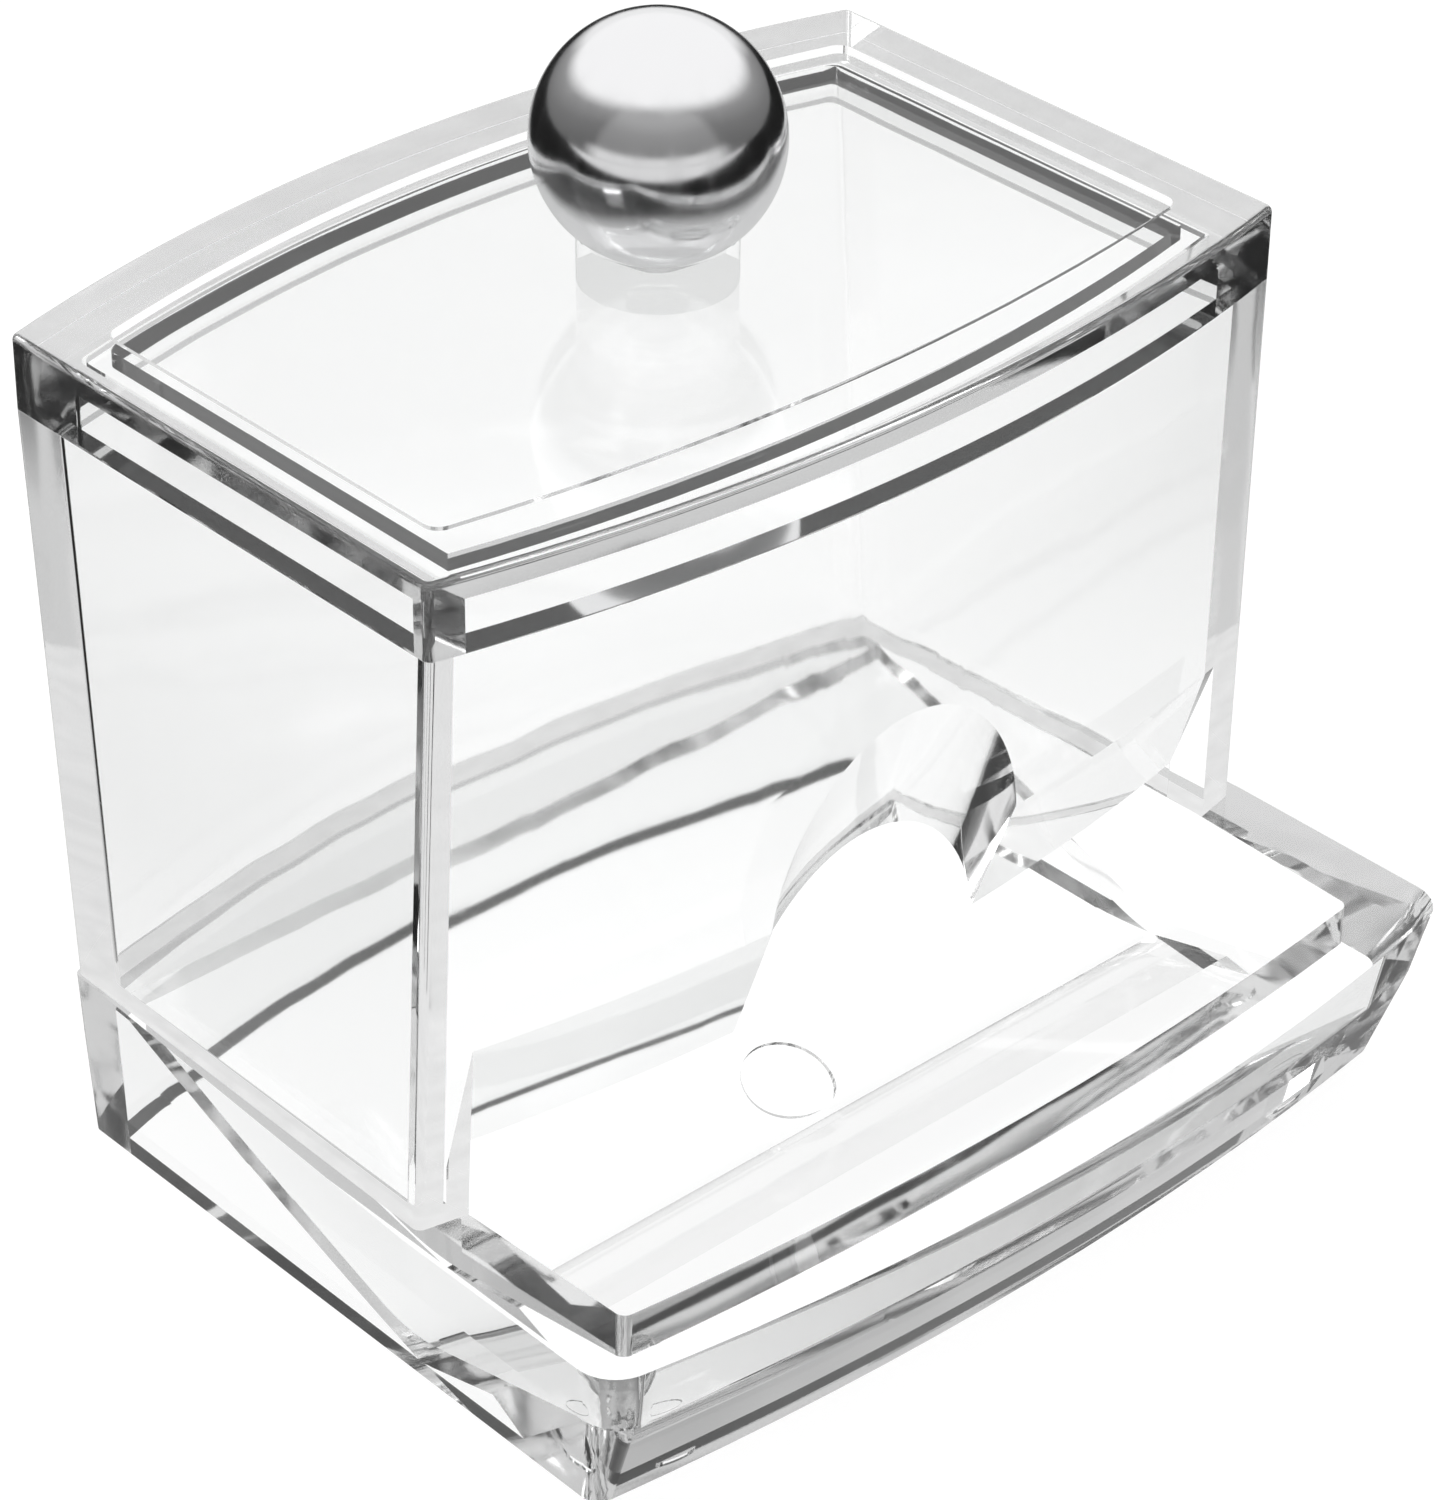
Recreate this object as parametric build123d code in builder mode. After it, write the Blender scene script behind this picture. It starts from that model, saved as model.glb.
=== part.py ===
from build123d import *
import math
import os

# Cotton swab dispenser in clear acrylic: a foot moulding with a ramp and an open tray,
# a bowed bin standing on it, and a lift-off lid with a ball knob.
# Millimetres, +Z up, the front (tray side) faces -Y, the dispenser stands on Z = 0.
# Outlines are drawn about the knob's axis, which stands KNOB_AXIS_Y behind the origin.

# Lid and the top of the bin
LID_LENGTH = 92.0           # across the front, corner to corner
LID_DEPTH = 51.6            # front to back, corner to corner
LID_FRONT_BOW = 5.5         # how far the front edge bows out at mid length
LID_BACK_BOW = 7.0
LID_HEIGHT = 6.8
PLATE = 2.8                 # lid plate over its hollow
LIP_CLEARANCE = 0.3         # lid lip to the inside of the bin
LIP_THICKNESS = 1.6
LIP_DROP = 1.2              # lip below the lid's rim
LID_EDGE = 0.6              # rounding of the lid's top edges

# Panel sunk in the lid's top, inside a raised border
PANEL_LENGTH = 80.8
PANEL_FRONT, PANEL_FRONT_BOW = 20.0, 3.8
PANEL_BACK, PANEL_BACK_BOW = 20.6, 5.5
PANEL_SINK = 0.8
PANEL_CORNER = 1.5

# Bin
WALL = 4.2
BIN_TOP = 70.0              # top edge of the bin above the table
FOOT_FRONT_LENGTH = 94.8    # bin outline where it stands on the base
FOOT_BACK_LENGTH = 92.6
FOOT_FRONT, FOOT_FRONT_BOW = 24.4, 5.2
FOOT_BACK, FOOT_BACK_BOW = 22.2, 6.4
OUTER_CORNER = 0.8          # vertical edges, outside
INNER_CORNER = 1.2          # back vertical edges, inside

# Opening in the front wall: its edge slopes from the outer face down to the inner face
SLOT_OUTER = 32.7           # height of the edge on the outer face
SLOT_INNER = 20.2           # height of the edge on the inner face
SLOT_RETURN = 0.3           # front post wider than the side wall
ARCH_RADIUS = 14.1          # finger notch over the slot

# Base outlines at the seam under the bin, at the side faces' crease, and on the table.
# The sides bend at the bin's front posts, where the open tray begins.
SEAM = 16.5
CREASE = 10.0
LEDGE = 0.2                 # base past the bin at the back
SEAM_POST_LENGTH, CREASE_POST_LENGTH, TABLE_POST_LENGTH = 97.8, 95.2, 92.2
SEAM_FRONT_LENGTH, CREASE_FRONT_LENGTH, TABLE_FRONT_LENGTH = 98.0, 95.4, 92.4
SEAM_FRONT, CREASE_FRONT, TABLE_FRONT = 48.8, 47.6, 44.3
SEAM_BOW, CREASE_BOW, TABLE_BOW = 4.7, 3.8, 3.2
SEAM_ROUND, CREASE_ROUND, TABLE_ROUND = 4.0, 3.0, 1.8
CREASE_DRAFT, TABLE_DRAFT = 0.2, 0.6   # back and back corners drawn in from the seam

# Trough: a ramp falls from the back to a valley, then the tray floor rises to the front
VALLEY_Y = -20.3            # measured from the knob's axis
VALLEY_HEIGHT = 2.7
RAMP_SLOPE = 20.4           # degrees
TRAY_SLOPE = 13.4           # degrees
VALLEY_ROUND = 12.0
TRAY_LENGTH = 84.6          # inside the tray at its front corners
TRAY_FRONT, TRAY_BOW = 43.3, 2.6
TROUGH_CORNER = 1.0
TROUGH_PLATE = 2.4          # thickness of the ramp
SKIRT = 3.5                 # back wall of the base round its hollow underside
GROOVE_BACK, GROOVE_PEAK, GROOVE_FRONT = 21.5, 30.5, 34.0
GROOVE_DEPTH = 2.6          # shallow groove under the tray floor

# Moulding marks: the gate on the ramp and two pin marks on the underside
GATE_Y = -17.1
GATE_DIAMETER, GATE_DEPTH = 8.5, 0.4
PIN_DIAMETER, PIN_DEPTH = 3.7, 0.3
PIN_X, PIN_FRONT = 35.6, 38.2

# Knob
BALL_DIAMETER = 21.0
BALL_LIFT = 11.8            # ball centre above the lid's border
COLLAR_DIAMETER = 13.4
SEAT_DIAMETER = 11.0        # ring on which the ball sits in the collar's cone
SEAT_GAP = 0.1
SPIGOT_DIAMETER = 5.0
SPIGOT_HEIGHT = 5.0         # above the ball's lowest point
SPIGOT_CLEARANCE = 0.05     # radial, in the ball's bore

REACH = 2.0                 # how far cutting tools reach past a face

LID_TOP = BIN_TOP + LID_HEIGHT
PANEL_TOP = LID_TOP - PANEL_SINK
FRONT_REACH = SEAM_FRONT + SEAM_BOW
BACK_REACH = LID_DEPTH / 2 + LID_BACK_BOW
KNOB_AXIS_Y = (FRONT_REACH - BACK_REACH) / 2


def level(height):
    """Horizontal sketch plane at a height, with its origin on the knob's axis."""
    return Plane(origin=(0, KNOB_AXIS_Y, height))


def side(height=0.0):
    """Upright sketch plane: its x runs to the back, its y runs up."""
    return Plane(origin=(0, KNOB_AXIS_Y, height), x_dir=(0, 1, 0), z_dir=(1, 0, 0))


def bowed_outline(front, front_bow, back, back_bow, post=None):
    """Outline with bowed front and back edges, from its right-hand corners (x, y)."""
    right = [front, back] if post is None else [front, post, back]
    left = [(-x, y) for x, y in reversed(right)]
    with BuildSketch() as outline:
        with BuildLine():
            ThreePointArc(left[-1], (0, front[1] - front_bow), right[0])
            Polyline(*right)
            ThreePointArc(right[-1], (0, back[1] + back_bow), left[0])
            Polyline(*left)
        make_face()
    return outline.sketch


def bin_corners(height):
    """Front corner, front bow, back corner and back bow of the bin's outline at a height."""
    share = (height - SEAM) / (BIN_TOP - SEAM)

    def blend(foot, top):
        return foot + share * (top - foot)

    front = (blend(FOOT_FRONT_LENGTH, LID_LENGTH) / 2, -blend(FOOT_FRONT, LID_DEPTH / 2))
    back = (blend(FOOT_BACK_LENGTH, LID_LENGTH) / 2, blend(FOOT_BACK, LID_DEPTH / 2))
    return front, blend(FOOT_FRONT_BOW, LID_FRONT_BOW), back, blend(FOOT_BACK_BOW, LID_BACK_BOW)


def bin_outline(height):
    """Sketch of the bin's outer outline at a height."""
    with BuildSketch(level(height)) as outline:
        add(bowed_outline(*bin_corners(height)))
        fillet(outline.vertices(), OUTER_CORNER)
    return outline.sketch


def inner_outline(height, inset):
    """Sketch of the bin's outline drawn in by an inset, rounded at the back."""
    with BuildSketch(level(height)) as outline:
        add(bowed_outline(*bin_corners(height)))
        offset(amount=-inset, kind=Kind.INTERSECTION, mode=Mode.REPLACE)
        fillet(outline.vertices().sort_by(Axis.Y)[-2:], INNER_CORNER)
    return outline.sketch


def base_outline(height, front_length, front, front_bow, front_round, post_length, back_draft):
    """Sketch of the base's outline at a height; its back follows the bin's foot."""
    back_x = FOOT_BACK_LENGTH / 2 + LEDGE - back_draft
    back_y = FOOT_BACK + LEDGE - back_draft
    with BuildSketch(level(height)) as outline:
        add(bowed_outline(
            (front_length / 2, -front), front_bow,
            (back_x, back_y), FOOT_BACK_BOW,
            post=(post_length / 2, -FOOT_FRONT),
        ))
        fillet(outline.vertices().sort_by(Axis.Y)[:2], front_round)
        fillet(outline.vertices().sort_by(Axis.Y)[-2:], OUTER_CORNER)
    return outline.sketch


def trough_height(y):
    """Height of the ramp's surface at a distance behind the knob's axis."""
    return VALLEY_HEIGHT + (y - VALLEY_Y) * math.tan(math.radians(RAMP_SLOPE))


def ramp_y(height):
    """Where the ramp's surface has a height, behind the knob's axis."""
    return VALLEY_Y + (height - VALLEY_HEIGHT) / math.tan(math.radians(RAMP_SLOPE))


def slot_section(height):
    """Sketch of the space in front of the slot's sloping edge at a height."""
    lean = WALL / (SLOT_OUTER - SLOT_INNER)
    inset = WALL - lean * (height - SLOT_INNER)
    (front_x, front_y), bow, _, _ = bin_corners(height)
    radius = (front_x ** 2 + bow ** 2) / (2 * bow) - inset
    nose = front_y - bow + inset
    centre = nose + radius
    half = front_x - WALL - SLOT_RETURN
    edge = centre - math.sqrt(radius ** 2 - half ** 2)
    far = front_y - bow - REACH
    with BuildSketch(level(height)) as section:
        with BuildLine():
            ThreePointArc((-half, edge), (0, nose), (half, edge))
            Polyline((half, edge), (half, far), (-half, far), (-half, edge))
        make_face()
    return section.sketch


# ---- base: foot, ramp and tray in one moulding ----
tray_end = TRAY_FRONT + TRAY_BOW + REACH
tray_end_height = VALLEY_HEIGHT + (tray_end + VALLEY_Y) * math.tan(math.radians(TRAY_SLOPE))
post_half = FOOT_FRONT_LENGTH / 2 - WALL - SLOT_RETURN
back_half = FOOT_BACK_LENGTH / 2 - WALL
cut_back = ramp_y(SEAM + REACH)

with BuildPart() as channel:
    with BuildSketch(level(0)):
        add(bowed_outline(
            (TRAY_LENGTH / 2, -TRAY_FRONT), TRAY_BOW,
            (back_half, cut_back), REACH,
            post=(post_half, -FOOT_FRONT),
        ))
    extrude(amount=SEAM + REACH)
    fillet(channel.edges().filter_by(Axis.Z).sort_by(Axis.Y)[:2], TROUGH_CORNER)
    with BuildSketch(side()) as profile:
        with BuildLine():
            Polyline(
                (cut_back, SEAM + REACH),
                (VALLEY_Y, VALLEY_HEIGHT),
                (-tray_end, tray_end_height),
                (-tray_end, SEAM + REACH),
                (cut_back, SEAM + REACH),
            )
        make_face()
        fillet(profile.vertices().sort_by(Axis.Y)[:1], VALLEY_ROUND)
    extrude(amount=post_half + REACH, both=True, mode=Mode.INTERSECT)

with BuildPart() as hollow:
    with BuildSketch(level(0)):
        add(bowed_outline(
            (back_half, -GROOVE_FRONT), REACH,
            (back_half, FOOT_BACK - SKIRT), FOOT_BACK_BOW,
        ))
    extrude(amount=SEAM)
    drop = TROUGH_PLATE / math.cos(math.radians(RAMP_SLOPE))
    behind = FOOT_BACK + FOOT_BACK_BOW
    with BuildSketch(side()):
        with BuildLine():
            Polyline(
                (ramp_y(drop), 0),
                (ramp_y(SEAM), SEAM - drop),
                (behind, SEAM - drop),
                (behind, 0),
                (ramp_y(drop), 0),
            )
        make_face()
        with BuildLine():
            Polyline(
                (-GROOVE_BACK, 0),
                (-GROOVE_PEAK, GROOVE_DEPTH),
                (-GROOVE_FRONT, 0),
                (-GROOVE_BACK, 0),
            )
        make_face()
    extrude(amount=back_half, both=True, mode=Mode.INTERSECT)

table_outline = base_outline(
    0, TABLE_FRONT_LENGTH, TABLE_FRONT, TABLE_BOW, TABLE_ROUND, TABLE_POST_LENGTH, TABLE_DRAFT)
crease_outline = base_outline(
    CREASE, CREASE_FRONT_LENGTH, CREASE_FRONT, CREASE_BOW, CREASE_ROUND, CREASE_POST_LENGTH, CREASE_DRAFT)
seam_outline = base_outline(
    SEAM, SEAM_FRONT_LENGTH, SEAM_FRONT, SEAM_BOW, SEAM_ROUND, SEAM_POST_LENGTH, 0)

with BuildPart() as base:
    loft([table_outline, crease_outline], ruled=True)
    loft([crease_outline, seam_outline], ruled=True)
    add(channel.part, mode=Mode.SUBTRACT)
    add(hollow.part, mode=Mode.SUBTRACT)
    gate_plane = Plane(
        origin=(0, KNOB_AXIS_Y + GATE_Y, trough_height(GATE_Y) - GATE_DEPTH),
        x_dir=(1, 0, 0),
        z_dir=(0, -math.sin(math.radians(RAMP_SLOPE)), math.cos(math.radians(RAMP_SLOPE))),
    )
    with BuildSketch(gate_plane):
        Circle(GATE_DIAMETER / 2)
    extrude(amount=REACH, mode=Mode.SUBTRACT)
    with BuildSketch(level(0)):
        with Locations((-PIN_X, -PIN_FRONT), (PIN_X, -PIN_FRONT)):
            Circle(PIN_DIAMETER / 2)
    extrude(amount=PIN_DEPTH, mode=Mode.SUBTRACT)

# ---- bin: bowed tube with the dispensing slot and the finger notch ----
with BuildPart() as bin_shell:
    loft([bin_outline(SEAM), bin_outline(BIN_TOP)], ruled=True)
    loft([inner_outline(SEAM, WALL), inner_outline(BIN_TOP, WALL)], ruled=True, mode=Mode.SUBTRACT)
    slot_low = SLOT_INNER - REACH
    loft([slot_section(slot_low), slot_section(SLOT_OUTER + REACH)], ruled=True, mode=Mode.SUBTRACT)
    extrude(slot_section(slot_low), amount=-(slot_low - SEAM), mode=Mode.SUBTRACT)
    slot_lean = (SLOT_OUTER - SLOT_INNER) / WALL
    (_, slot_front), slot_bow, _, _ = bin_corners(SLOT_OUTER)
    notch_plane = Plane(
        origin=(0, KNOB_AXIS_Y + slot_front - slot_bow - REACH, SLOT_OUTER + REACH * slot_lean),
        x_dir=(1, 0, 0),
        z_dir=(0, -1, 0),
    )
    with BuildSketch(notch_plane):
        Circle(ARCH_RADIUS)
    notch_run = WALL + 2 * REACH
    extrude(amount=notch_run * math.hypot(1, slot_lean), dir=(0, 1, -slot_lean), mode=Mode.SUBTRACT)

# ---- lid: bordered plate with a deep rim and a locating lip ----
with BuildPart() as lid:
    extrude(bin_outline(BIN_TOP), amount=LID_HEIGHT)
    fillet(lid.faces().sort_by(Axis.Z)[-1].edges(), LID_EDGE)
    extrude(inner_outline(BIN_TOP, WALL + LIP_CLEARANCE), amount=-LIP_DROP)
    lip_inner = inner_outline(BIN_TOP, WALL + LIP_CLEARANCE + LIP_THICKNESS)
    extrude(lip_inner, amount=-LIP_DROP, mode=Mode.SUBTRACT)
    extrude(lip_inner, amount=LID_HEIGHT - PLATE, mode=Mode.SUBTRACT)
    with BuildSketch(level(PANEL_TOP)) as panel:
        add(bowed_outline(
            (PANEL_LENGTH / 2, -PANEL_FRONT), PANEL_FRONT_BOW,
            (PANEL_LENGTH / 2, PANEL_BACK), PANEL_BACK_BOW,
        ))
        fillet(panel.vertices(), PANEL_CORNER)
    extrude(amount=PANEL_SINK + REACH, mode=Mode.SUBTRACT)

# ---- knob: clear collar with a conical seat and a spigot, and the plated ball ----
ball_centre = LID_TOP + BALL_LIFT
ball_low = ball_centre - BALL_DIAMETER / 2
seat_radius = SEAT_DIAMETER / 2
seat_drop = math.sqrt((BALL_DIAMETER / 2) ** 2 - seat_radius ** 2)
seat_slope = seat_radius / seat_drop
seat_height = ball_centre - seat_drop - SEAT_GAP * math.hypot(1, seat_slope)
spigot_radius = SPIGOT_DIAMETER / 2
spigot_top = ball_low + SPIGOT_HEIGHT

with BuildPart() as knob_collar:
    with BuildSketch(Plane(origin=(0, KNOB_AXIS_Y, 0), x_dir=(1, 0, 0), z_dir=(0, -1, 0))):
        with BuildLine():
            Polyline(
                (0, PANEL_TOP),
                (COLLAR_DIAMETER / 2, PANEL_TOP),
                (COLLAR_DIAMETER / 2, seat_height + seat_slope * (COLLAR_DIAMETER / 2 - seat_radius)),
                (spigot_radius, seat_height + seat_slope * (spigot_radius - seat_radius)),
                (spigot_radius, spigot_top),
                (0, spigot_top),
                (0, PANEL_TOP),
            )
        make_face()
    revolve(axis=Axis((0, KNOB_AXIS_Y, 0), (0, 0, 1)))

with BuildPart() as knob_ball:
    with Locations((0, KNOB_AXIS_Y, ball_centre)):
        Sphere(BALL_DIAMETER / 2)
    with BuildSketch(level(ball_low - REACH)):
        Circle(spigot_radius + SPIGOT_CLEARANCE)
    extrude(amount=spigot_top + SEAT_GAP - ball_low + REACH, mode=Mode.SUBTRACT)

# ---- export ----
os.makedirs("parts", exist_ok=True)
base.part.label = "base"
export_step(base.part, "parts/base.step")
bin_shell.part.label = "bin"
export_step(bin_shell.part, "parts/bin.step")
lid.part.label = "lid"
export_step(lid.part, "parts/lid.step")
knob_collar.part.label = "knob_collar"
export_step(knob_collar.part, "parts/knob_collar.step")
knob_ball.part.label = "knob_ball"
export_step(knob_ball.part, "parts/knob_ball.step")
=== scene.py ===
"""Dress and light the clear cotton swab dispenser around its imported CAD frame."""

from __future__ import annotations

import logging
import math
from dataclasses import dataclass, field
from enum import Enum

import bpy
from mathutils import Matrix, Vector

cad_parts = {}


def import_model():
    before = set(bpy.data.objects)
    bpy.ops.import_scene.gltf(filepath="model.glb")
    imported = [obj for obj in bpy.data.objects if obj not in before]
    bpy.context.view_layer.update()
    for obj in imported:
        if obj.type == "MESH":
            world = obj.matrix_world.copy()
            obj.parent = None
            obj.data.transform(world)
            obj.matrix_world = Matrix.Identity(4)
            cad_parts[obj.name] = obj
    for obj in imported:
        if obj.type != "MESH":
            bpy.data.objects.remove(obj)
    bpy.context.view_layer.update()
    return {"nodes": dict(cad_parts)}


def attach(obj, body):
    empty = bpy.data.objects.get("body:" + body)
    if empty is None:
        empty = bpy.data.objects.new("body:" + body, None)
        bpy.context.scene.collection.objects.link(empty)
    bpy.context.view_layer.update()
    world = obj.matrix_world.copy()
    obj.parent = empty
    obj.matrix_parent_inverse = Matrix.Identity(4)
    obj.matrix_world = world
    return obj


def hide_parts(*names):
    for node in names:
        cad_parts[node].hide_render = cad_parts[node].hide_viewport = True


LOG = logging.getLogger("dispenser")

MM = 0.001
PHOTO_WIDTH = 1444
MERGE_REACH = 0.0005 * MM
SAME_LEVEL = 0.002 * MM
STEPS_PER_METRE = 1.0e6
COLLAR_IOR = 1.04
BOUNCES = 64


class Body(Enum):
    """Moving groups of the dispenser, as the frame names them."""

    CONTAINER = "container"
    LID = "lid"


class NodeKit:
    """Short helper for placing and linking shader nodes in one tree."""

    SPACING = 220

    def __init__(self, tree: bpy.types.NodeTree) -> None:
        """Keep the tree and empty it.

        Args:
            tree: Node tree of a material or a world.
        """
        self.tree = tree
        self.tree.nodes.clear()
        self.column = 0

    def add(self, kind: str, **values: object) -> bpy.types.Node:
        """Add a node and set its input sockets by name.

        Args:
            kind: Blender's identifier of the node type.
            **values: Socket values, with underscores for spaces in their names.

        Returns:
            The new node.
        """
        node = self.tree.nodes.new(kind)
        node.location = (self.column * self.SPACING, 0)
        self.column += 1
        for name, value in values.items():
            node.inputs[name.replace("_", " ")].default_value = value
        return node

    def link(self, source: bpy.types.NodeSocket, target: bpy.types.NodeSocket) -> None:
        """Join an output socket to an input socket."""
        self.tree.links.new(source, target)

    def math(self, operation: str, first: object, second: object = 0.0) -> bpy.types.NodeSocket:
        """Add a Math node fed by sockets or plain numbers.

        Args:
            operation: Name of the operation.
            first: Socket or number.
            second: Socket or number.

        Returns:
            The node's output socket.
        """
        node = self.add("ShaderNodeMath")
        node.operation = operation
        for slot, value in enumerate((first, second)):
            if isinstance(value, bpy.types.NodeSocket):
                self.link(value, node.inputs[slot])
            else:
                node.inputs[slot].default_value = value
        return node.outputs[0]

    def noise(
        self, vector: bpy.types.NodeSocket, scale: float, detail: float, roughness: float
    ) -> bpy.types.NodeSocket:
        """Add a noise texture.

        Args:
            vector: Socket with the place.
            scale: Size of the pattern, finer when larger.
            detail: Number of finer layers.
            roughness: Share of the finer layers.

        Returns:
            The noise's grey value socket.
        """
        node = self.add("ShaderNodeTexNoise", Scale=scale, Detail=detail, Roughness=roughness)
        self.link(vector, node.inputs["Vector"])
        return node.outputs["Fac"]

    def spread(
        self, value: bpy.types.NodeSocket, source: tuple[float, float], target: tuple[float, float]
    ) -> bpy.types.NodeSocket:
        """Map a value from one range to another.

        Args:
            value: Socket to map.
            source: Lowest and highest value taken in.
            target: Value given out at each of the two.

        Returns:
            The mapped value's socket.
        """
        low, high = source
        node = self.add("ShaderNodeMapRange", From_Min=low, From_Max=high, To_Min=target[0], To_Max=target[1])
        self.link(value, node.inputs["Value"])
        return node.outputs["Result"]


@dataclass(frozen=True)
class ClearAcrylic:
    """Crystal clear moulded acrylic with a faint surface ripple and an uneven haze."""

    name: str = "clear_acrylic"
    tint: tuple[float, float, float, float] = (0.994, 0.997, 0.996, 1.0)
    ior: float = 1.49
    roughness: tuple[float, float] = (0.035, 0.06)
    haze_scale: float = 420.0
    haze_range: tuple[float, float] = (0.55, 0.8)
    ripple_scale: float = 60.0
    ripple_depth: float = 0.00025
    ripple_strength: float = 0.30

    def material(self) -> bpy.types.Material:
        """Build the procedural material.

        Returns:
            The new material.
        """
        material = bpy.data.materials.new(self.name)
        material.use_nodes = True
        kit = NodeKit(material.node_tree)
        place = kit.add("ShaderNodeTexCoord")
        ripple = kit.noise(place.outputs["Object"], self.ripple_scale, 1.0, 0.4)
        bump = kit.add("ShaderNodeBump", Strength=self.ripple_strength, Distance=self.ripple_depth)
        kit.link(ripple, bump.inputs["Height"])
        haze = kit.noise(place.outputs["Object"], self.haze_scale, 3.0, 0.6)
        skin = kit.add("ShaderNodeBsdfPrincipled", IOR=self.ior, Base_Color=self.tint, Transmission_Weight=1.0)
        kit.link(kit.spread(haze, self.haze_range, self.roughness), skin.inputs["Roughness"])
        kit.link(bump.outputs["Normal"], skin.inputs["Normal"])
        out = kit.add("ShaderNodeOutputMaterial")
        kit.link(skin.outputs["BSDF"], out.inputs["Surface"])
        return material


@dataclass(frozen=True)
class PaintedSeamGlow:
    """Solvent bond between two mouldings, with painted light on it: a glowing seam that stands in for the
    table's light that the bond lets through.
    """

    name: str = "seam_painted_glow"
    cloud_scale: float = 300.0
    glow: tuple[float, float] = (0.72, 0.92)

    def material(self) -> bpy.types.Material:
        """Build the procedural material.

        Returns:
            The new material.
        """
        material = bpy.data.materials.new(self.name)
        material.use_nodes = True
        kit = NodeKit(material.node_tree)
        place = kit.add("ShaderNodeTexCoord")
        cloud = kit.noise(place.outputs["Object"], self.cloud_scale, 3.0, 0.5)
        # Painted light: the seam faces glow, mottled by the cloud noise, standing in for the table's light
        # seen through the bond.
        skin = kit.add("ShaderNodeEmission")
        kit.link(kit.spread(cloud, (0.0, 1.0), self.glow), skin.inputs["Strength"])
        out = kit.add("ShaderNodeOutputMaterial")
        kit.link(skin.outputs[0], out.inputs["Surface"])
        return material


@dataclass(frozen=True)
class SatinPlating:
    """Silver plating with a soft satin sheen and faint turning marks."""

    name: str = "satin_plating"
    colour: tuple[float, float, float, float] = (0.90, 0.90, 0.91, 1.0)
    roughness: tuple[float, float] = (0.10, 0.20)
    grain_scale: float = 420.0
    grain_stretch: tuple[float, float, float] = (1.0, 1.0, 0.12)
    grain_range: tuple[float, float] = (0.3, 0.7)
    grain_strength: float = 0.08
    grain_depth: float = 0.0001

    def material(self) -> bpy.types.Material:
        """Build the procedural material.

        Returns:
            The new material.
        """
        material = bpy.data.materials.new(self.name)
        material.use_nodes = True
        kit = NodeKit(material.node_tree)
        place = kit.add("ShaderNodeTexCoord")
        stretch = kit.add("ShaderNodeMapping", Scale=self.grain_stretch)
        kit.link(place.outputs["Object"], stretch.inputs["Vector"])
        grain = kit.noise(stretch.outputs["Vector"], self.grain_scale, 4.0, 0.6)
        bump = kit.add("ShaderNodeBump", Strength=self.grain_strength, Distance=self.grain_depth)
        kit.link(grain, bump.inputs["Height"])
        skin = kit.add("ShaderNodeBsdfPrincipled", Metallic=1.0, Base_Color=self.colour)
        kit.link(kit.spread(grain, self.grain_range, self.roughness), skin.inputs["Roughness"])
        kit.link(bump.outputs["Normal"], skin.inputs["Normal"])
        out = kit.add("ShaderNodeOutputMaterial")
        kit.link(skin.outputs["BSDF"], out.inputs["Surface"])
        return material


def dress(piece: bpy.types.Object, material: bpy.types.Material) -> None:
    """Give a piece one material on all its faces.

    Args:
        piece: Object to dress.
        material: Material to use.
    """
    piece.data.materials.clear()
    piece.data.materials.append(material)
    LOG.info("%s dressed in %s", piece.name, material.name)


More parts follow.
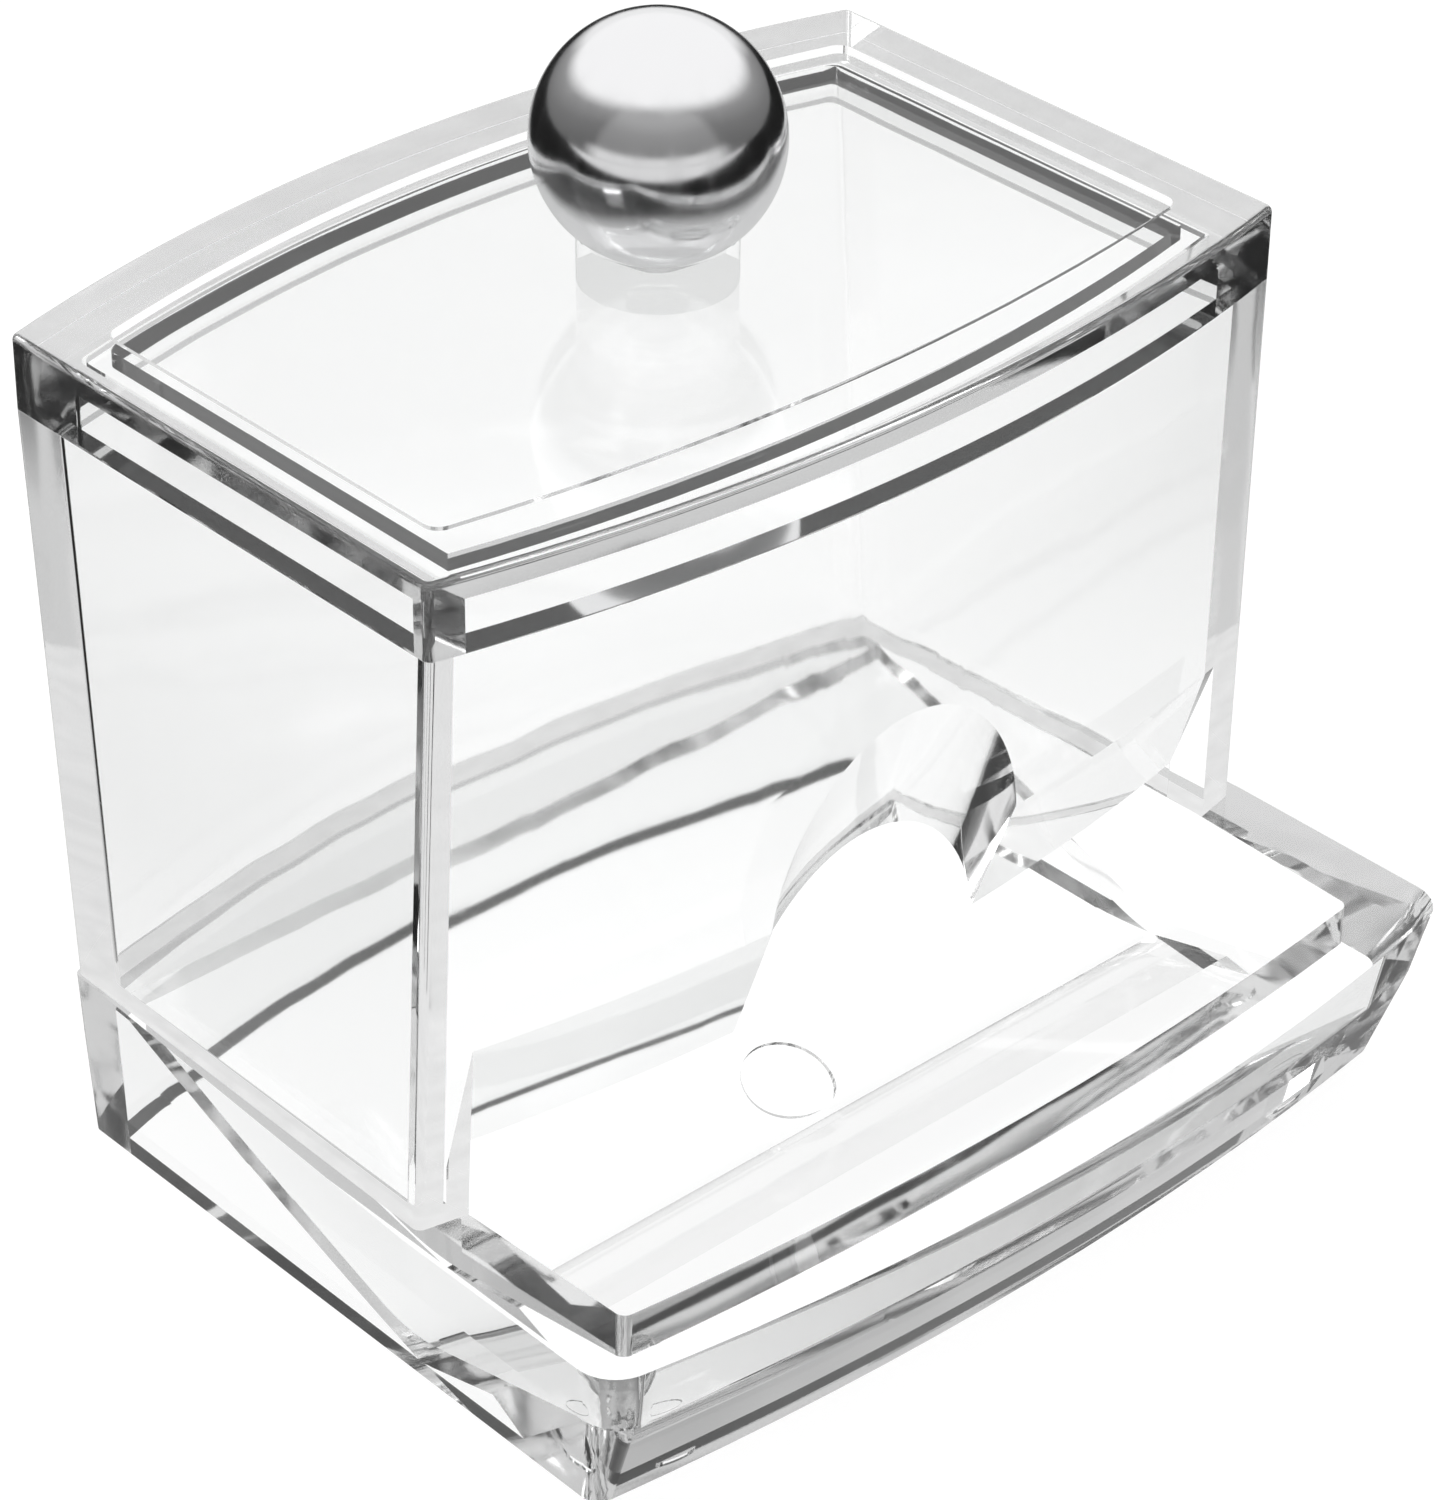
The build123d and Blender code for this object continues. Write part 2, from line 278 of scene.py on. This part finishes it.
@dataclass(frozen=True)
class Moulding:
    """Moulded piece taken from its CAD node, with the true surface's normals and a hair's gap at its seat."""

    node: bpy.types.Object
    body: Body
    acrylic: bpy.types.Material
    seat_height: float | None = None
    seat_shift: float = 0.0
    under_plate: tuple[float, float] | None = None
    # Glowing material for the seat's faces: painted light that stands in for the table's light.
    seam_glow: bpy.types.Material | None = None

    def build(self) -> bpy.types.Object:
        """Copy, merge, open the seat's gap and keep the true surface's normals.

        Returns:
            The finished piece, which replaces its node.
        """
        name = self.node.name + "_moulding"
        bpy.ops.object.select_all(action="DESELECT")
        piece = bpy.data.objects.new(name, self.node.data.copy())
        piece.data.name = name
        bpy.context.scene.collection.objects.link(piece)
        piece.select_set(True)
        bpy.context.view_layer.objects.active = piece
        bpy.ops.object.mode_set(mode="EDIT")
        bpy.ops.mesh.select_mode(type="VERT")
        bpy.ops.mesh.select_all(action="SELECT")
        bpy.ops.mesh.remove_doubles(threshold=MERGE_REACH)
        bpy.ops.object.mode_set(mode="OBJECT")
        self.keep_normals(piece)
        self.open_seat(piece)
        self.thicken_plate(piece)
        dress(piece, self.acrylic)
        self.paint_seam_glow(piece)
        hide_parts(self.node.name)
        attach(piece, self.body.value)
        LOG.info("%s moulded, %d faces", name, len(piece.data.polygons))
        return piece

    def corner_key(
        self, mesh: bpy.types.Mesh, face: bpy.types.MeshPolygon, corner: int
    ) -> tuple[int, ...]:
        """Name a face's corner by its place and the face's centre.

        Args:
            mesh: Mesh of the face.
            face: Face of the corner.
            corner: Index of the corner in the mesh.

        Returns:
            Coordinates rounded to whole micrometres.
        """
        spot = mesh.vertices[mesh.loops[corner].vertex_index].co
        return tuple(round(value * STEPS_PER_METRE) for value in (*spot, *face.center))

    def keep_normals(self, piece: bpy.types.Object) -> None:
        """Give the merged piece the normals of its CAD node.

        Args:
            piece: Piece being built.
        """
        source = self.node.data
        known = {}
        for face in source.polygons:
            for corner in face.loop_indices:
                normal = source.corner_normals[corner].vector
                known[self.corner_key(source, face, corner)] = normal.copy()
        mesh = piece.data
        normals = []
        missed = 0
        for face in mesh.polygons:
            face.use_smooth = True
            for corner in face.loop_indices:
                normal = known.get(self.corner_key(mesh, face, corner))
                if normal is None:
                    missed += 1
                    normal = face.normal.copy()
                normals.append(tuple(normal))
        mesh.normals_split_custom_set(normals)
        LOG.info("%s kept its normals, %d corners without one", piece.name, missed)

    def open_seat(self, piece: bpy.types.Object) -> None:
        """Draw the seat's points back by the gap, so the two pieces don't share a face.

        Args:
            piece: Piece being built.
        """
        if self.seat_height is not None:
            self.shift_level(piece, self.seat_height, self.seat_shift)

    def shift_level(self, piece: bpy.types.Object, height: float, shift: float) -> None:
        """Move all points at one height up or down.

        Args:
            piece: Piece being built.
            height: Height of the points.
            shift: How far they rise.
        """
        for point in piece.data.vertices:
            if abs(point.co.z - height) < SAME_LEVEL:
                point.co.z += shift
        piece.data.update()

    def paint_seam_glow(self, piece: bpy.types.Object) -> None:
        """Give the seat's flat faces the painted seam glow, an emission that stands in for the table's light.

        Args:
            piece: Piece being built.
        """
        if self.seam_glow is None or self.seat_height is None:
            return
        piece.data.materials.append(self.seam_glow)
        level = self.seat_height + self.seat_shift
        for face in piece.data.polygons:
            spots = (piece.data.vertices[index].co.z for index in face.vertices)
            if all(abs(z - level) < SAME_LEVEL for z in spots):
                # Painted light: these seat faces take the glowing seam material.
                face.material_index = 1

    def thicken_plate(self, piece: bpy.types.Object) -> None:
        """Lower the underside of the plate inside its hollow.

        Args:
            piece: Piece being built.
        """
        if self.under_plate is not None:
            height, drop = self.under_plate
            self.shift_level(piece, height, -drop)


@dataclass
class Container:
    """Base with its ramp and tray, and the bin that stands on it."""

    nodes: dict[str, bpy.types.Object]
    acrylic: bpy.types.Material
    # Glowing material for the bin's seat: painted light, not a lamp.
    seam_glow: bpy.types.Material
    seam: float = 16.5 * MM
    gap: float = 0.03 * MM

    def build(self) -> None:
        """Mould the base and the bin."""
        Moulding(self.nodes["base"], Body.CONTAINER, self.acrylic, self.seam, -self.gap).build()
        # The bin's seat faces get the painted seam glow.
        Moulding(self.nodes["bin"], Body.CONTAINER, self.acrylic, self.seam, seam_glow=self.seam_glow).build()


@dataclass
class Lid:
    """Lift-off lid with its collar and ball."""

    nodes: dict[str, bpy.types.Object]
    acrylic: bpy.types.Material
    bonded: bpy.types.Material
    plating: bpy.types.Material
    rim: float = 70.0 * MM
    panel: float = 76.0 * MM
    gap: float = 0.03 * MM
    under_plate: float = 74.0 * MM
    plate_drop: float = 1.6 * MM

    def build(self) -> None:
        """Mould the lid and the collar, and dress the ball."""
        plate = (self.under_plate, self.plate_drop)
        Moulding(self.nodes["lid"], Body.LID, self.acrylic, self.rim, self.gap, plate).build()
        Moulding(self.nodes["knob_collar"], Body.LID, self.bonded, self.panel, self.gap).build()
        dress(self.nodes["knob_ball"], self.plating)


@dataclass
class PhotoCamera:
    """Camera at the photograph's viewpoint, worked out from the object's corners."""

    azimuth: float = -42.87
    elevation: float = 33.16
    roll: float = 0.65
    distance: float = 461.9 * MM
    aside: float = 5.95 * MM
    raised: float = 25.01 * MM
    focal_pixels: float = 5159.16
    sensor_width: float = 36.0
    clip_start: float = 0.01
    aim: Vector = field(default_factory=lambda: Vector((0.0, 10.35 * MM, 0.0)))

    def build(self) -> bpy.types.Object:
        """Create the camera and make it the scene's own.

        Returns:
            The camera object.
        """
        turn, lift, roll = (math.radians(v) for v in (self.azimuth, self.elevation, self.roll))
        back = Vector((
            math.sin(turn) * math.cos(lift),
            -math.cos(turn) * math.cos(lift),
            math.sin(lift),
        ))
        level = Vector((0.0, 0.0, 1.0)).cross(back).normalized()
        upright = back.cross(level)
        right = math.cos(roll) * level + math.sin(roll) * upright
        up = -math.sin(roll) * level + math.cos(roll) * upright
        place = self.aim + back * self.distance + right * self.aside + up * self.raised
        lens = bpy.data.cameras.new("camera")
        lens.sensor_fit = "HORIZONTAL"
        lens.sensor_width = self.sensor_width
        lens.lens = self.focal_pixels / PHOTO_WIDTH * self.sensor_width
        lens.clip_start = self.clip_start
        camera = bpy.data.objects.new("camera", lens)
        bpy.context.scene.collection.objects.link(camera)
        camera.matrix_world = Matrix((
            (right.x, up.x, back.x, place.x),
            (right.y, up.y, back.y, place.y),
            (right.z, up.z, back.z, place.z),
            (0.0, 0.0, 0.0, 1.0),
        ))
        bpy.context.scene.camera = camera
        return camera


@dataclass(frozen=True)
class SoftBox:
    """Rectangular lamp that only lights, and isn't seen in gloss."""

    name: str
    place: tuple[float, float, float]
    size: tuple[float, float]
    power: float
    aim: tuple[float, float, float] = (0.0, 0.0, 0.05)

    def build(self) -> None:
        """Hang the lamp and turn it to its aim."""
        lamp = bpy.data.lights.new(self.name, "AREA")
        lamp.shape = "RECTANGLE"
        lamp.size, lamp.size_y = self.size
        lamp.energy = self.power
        holder = bpy.data.objects.new(self.name, lamp)
        bpy.context.scene.collection.objects.link(holder)
        holder.location = self.place
        look = Vector(self.aim) - Vector(self.place)
        holder.rotation_euler = look.to_track_quat("-Z", "Y").to_euler()
        holder.visible_glossy = False
        LOG.info("%s hung, %.1f W", self.name, self.power)


@dataclass
class Studio:
    """White table in a room that reflected light finds bright overhead and dark round the horizon."""

    floor_size: float = 6.0
    floor_height: float = -0.02 * MM
    floor_glow: float = 0.93
    floor_colour: float = 0.14
    table_back: float = 0.15
    table_wide: float = 1.80
    table_stops: tuple[tuple[float, float], ...] = ((0.24, 1.0), (0.30, 0.03))
    far_stops: tuple[tuple[float, float], ...] = ((0.46, 0.0), (0.56, 0.75))
    mirrored_share: float = 0.45
    through_share: float = 1.12
    turned_loss: float = 0.45
    turned_narrower: float = 0.06
    to_camera: tuple[float, float, float] = (-0.680, -0.733, 0.0)
    across: tuple[float, float, float] = (0.733, -0.680, 0.0)
    light_box: tuple[float, float, float] = (0.221, 0.239, 0.946)
    back_wall: tuple[float, float, float] = (0.557, 0.600, 0.574)
    surround: float = 1.0
    dome_stops: tuple[tuple[float, float], ...] = (
        (0.50, 0.00),
        (0.68, 0.01),
        (0.76, 0.03),
        (0.85, 0.12),
        (0.93, 0.80),
    )
    box_stops: tuple[tuple[float, float], ...] = (
        (0.50, 0.14),
        (0.62, 0.19),
        (0.72, 0.30),
        (0.79, 1.00),
    )
    level_stops: tuple[tuple[float, float], ...] = ((0.62, 0.95), (0.70, 0.0))
    wall_stops: tuple[tuple[float, float], ...] = ((0.86, 0.0), (0.92, 0.9))
    window_side_stops: tuple[tuple[float, float], ...] = ((0.66, 0.0), (0.80, 1.0))
    window_stops: tuple[tuple[float, float], ...] = (
        (0.46, 0.0),
        (0.50, 0.75),
        (0.54, 0.75),
        (0.58, 0.24),
        (0.72, 0.30),
        (0.80, 0.40),
    )
    reflected_once: float = 0.5
    reflected_twice: float = 1.5
    boxes: tuple[SoftBox, ...] = (
        SoftBox("top_box", (0.0, 0.12, 0.75), (0.7, 0.5), 3.0),
        SoftBox("left_box", (-0.8, -0.1, 0.35), (0.2, 0.6), 1.2),
    )

    def build(self) -> None:
        """Create the floor, the world and the lamps."""
        self.floor()
        self.world()
        for box in self.boxes:
            box.build()

    def ramp(
        self, kit: NodeKit, stops: tuple[tuple[float, float], ...], fed_by: bpy.types.NodeSocket
    ) -> bpy.types.NodeSocket:
        """Add a grey colour ramp with the given stops.

        Args:
            kit: Node helper of the tree.
            stops: Position and grey level of each stop, in order.
            fed_by: Socket that drives the ramp.

        Returns:
            The ramp's colour socket.
        """
        node = kit.add("ShaderNodeValToRGB")
        elements = node.color_ramp.elements
        while len(elements) < len(stops):
            elements.new(0.5)
        for element, (position, level) in zip(elements, stops):
            element.position = position
            element.color = (level, level, level, 1.0)
        kit.link(fed_by, node.inputs["Fac"])
        return node.outputs["Color"]

    def floor(self) -> None:
        """Add the table top, white to the camera and straight through plastic, darker to reflected light."""
        bpy.ops.object.select_all(action="DESELECT")
        bpy.ops.mesh.primitive_plane_add(size=self.floor_size, location=(0, 0, self.floor_height))
        table = bpy.context.object
        table.name = "table_top"
        material = bpy.data.materials.new("table_top")
        material.use_nodes = True
        kit = NodeKit(material.node_tree)
        place = kit.add("ShaderNodeTexCoord")
        spot = place.outputs["Object"]
        ahead = kit.math("ADD", self.along(kit, spot, self.to_camera), self.table_back)
        aside = kit.math("MULTIPLY", self.along(kit, spot, self.across), self.table_wide)
        squares = kit.math("ADD", kit.math("POWER", ahead, 2.0), kit.math("POWER", aside, 2.0))
        narrowed = kit.math("ADD", kit.math("SQRT", squares), self.turned_narrower)
        fade = self.ramp(kit, self.table_stops, narrowed)
        far = self.ramp(kit, self.far_stops, ahead)
        path = kit.add("ShaderNodeLightPath")
        turned = kit.math("GREATER_THAN", path.outputs["Glossy Depth"], self.reflected_once)
        refracted = path.outputs["Is Transmission Ray"]
        mirror_only = kit.math("SUBTRACT", path.outputs["Is Glossy Ray"], refracted)
        near = kit.math("MULTIPLY", fade, self.mirrored_share)
        mirrored = kit.math("MULTIPLY", mirror_only, kit.math("MAXIMUM", near, far))
        share = kit.math("SUBTRACT", self.through_share, kit.math("MULTIPLY", turned, self.turned_loss))
        lit = kit.math("MAXIMUM", fade, kit.math("SUBTRACT", 1.0, turned))
        through = kit.math("MULTIPLY", kit.math("MULTIPLY", refracted, share), lit)
        shown = kit.add("ShaderNodeMix")
        shown.data_type = "FLOAT"
        kit.link(path.outputs["Is Camera Ray"], shown.inputs["Factor"])
        kit.link(kit.math("MAXIMUM", mirrored, through), shown.inputs["A"])
        shown.inputs["B"].default_value = self.floor_glow
        glow = kit.add("ShaderNodeEmission")
        glow.inputs["Color"].default_value = (1.0, 1.0, 1.0, 1.0)
        kit.link(shown.outputs["Result"], glow.inputs["Strength"])
        matt = kit.add("ShaderNodeBsdfDiffuse")
        grey = kit.math("MULTIPLY", path.outputs["Is Camera Ray"], self.floor_colour)
        kit.link(grey, matt.inputs["Color"])
        both = kit.add("ShaderNodeAddShader")
        kit.link(glow.outputs[0], both.inputs[0])
        kit.link(matt.outputs[0], both.inputs[1])
        out = kit.add("ShaderNodeOutputMaterial")
        kit.link(both.outputs[0], out.inputs["Surface"])
        table.data.materials.append(material)

    def along(
        self, kit: NodeKit, place: bpy.types.NodeSocket, towards: tuple[float, float, float]
    ) -> bpy.types.NodeSocket:
        """Measure a place along one direction.

        Args:
            kit: Node helper of the tree.
            place: Socket with the place.
            towards: Unit vector to measure along.

        Returns:
            Socket with the length.
        """
        dot = kit.add("ShaderNodeVectorMath")
        dot.operation = "DOT_PRODUCT"
        dot.inputs[1].default_value = towards
        kit.link(place, dot.inputs[0])
        return dot.outputs["Value"]

    def facing(
        self, kit: NodeKit, place: bpy.types.Node, towards: tuple[float, float, float]
    ) -> bpy.types.NodeSocket:
        """Measure how far the surround's direction points one way, from 0 to 1.

        Args:
            kit: Node helper of the tree.
            place: Texture coordinate node of the surround.
            towards: Unit vector to compare with.

        Returns:
            Socket with half the cosine, raised by a half.
        """
        share = kit.math("MULTIPLY_ADD", self.along(kit, place.outputs["Generated"], towards), 0.5)
        share.node.inputs[2].default_value = 0.5
        return share

    def world(self) -> None:
        """Make the surround: white to the camera, a light box and a window to metal, dim to plastic."""
        world = bpy.data.worlds.new("surround")
        bpy.context.scene.world = world
        world.use_nodes = True
        kit = NodeKit(world.node_tree)
        place = kit.add("ShaderNodeTexCoord")
        height = self.facing(kit, place, (0.0, 0.0, 1.0))
        front = self.facing(kit, place, self.to_camera)
        dome = self.ramp(kit, self.dome_stops, height)
        level = self.ramp(kit, self.level_stops, height)
        box = self.ramp(kit, self.box_stops, self.facing(kit, place, self.light_box))
        wall = self.ramp(kit, self.wall_stops, self.facing(kit, place, self.back_wall))
        window = self.ramp(kit, self.window_stops, height)
        window_side = self.ramp(kit, self.window_side_stops, front)
        path = kit.add("ShaderNodeLightPath")
        first = kit.math("LESS_THAN", path.outputs["Glossy Depth"], self.reflected_twice)
        straight = kit.math("LESS_THAN", path.outputs["Glossy Depth"], self.reflected_once)
        seen_through = kit.math("MAXIMUM", dome, kit.math("MULTIPLY", level, straight))
        window_seen = kit.math("MULTIPLY", kit.math("MULTIPLY", window, window_side), first)
        gloss = kit.math("MAXIMUM", kit.math("MAXIMUM", box, wall), window_seen)
        through = kit.add("ShaderNodeMix")
        through.data_type = "FLOAT"
        kit.link(path.outputs["Is Transmission Ray"], through.inputs["Factor"])
        kit.link(gloss, through.inputs["A"])
        kit.link(seen_through, through.inputs["B"])
        shown = kit.add("ShaderNodeMix")
        shown.data_type = "FLOAT"
        kit.link(path.outputs["Is Camera Ray"], shown.inputs["Factor"])
        kit.link(through.outputs["Result"], shown.inputs["A"])
        shown.inputs["B"].default_value = 1.0
        sky = kit.add("ShaderNodeBackground", Strength=self.surround)
        kit.link(shown.outputs["Result"], sky.inputs["Color"])
        out = kit.add("ShaderNodeOutputWorld")
        kit.link(sky.outputs[0], out.inputs["Surface"])


def main() -> None:
    """Build the dispenser's looks, the studio and the camera."""
    logging.basicConfig(level=logging.INFO)
    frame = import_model()
    acrylic = ClearAcrylic().material()
    collar = ClearAcrylic(name="bonded_acrylic", ior=COLLAR_IOR).material()
    plating = SatinPlating().material()
    # The seam between base and bin gets a painted glow that stands in for the table's light.
    Container(frame["nodes"], acrylic, PaintedSeamGlow().material()).build()
    Lid(frame["nodes"], acrylic, collar, plating).build()
    Studio().build()
    PhotoCamera().build()
    scene = bpy.context.scene
    scene.view_settings.view_transform = "Standard"
    scene.cycles.max_bounces = BOUNCES
    scene.cycles.transmission_bounces = BOUNCES
    scene.cycles.glossy_bounces = BOUNCES


if __name__ == "__main__":
    main()
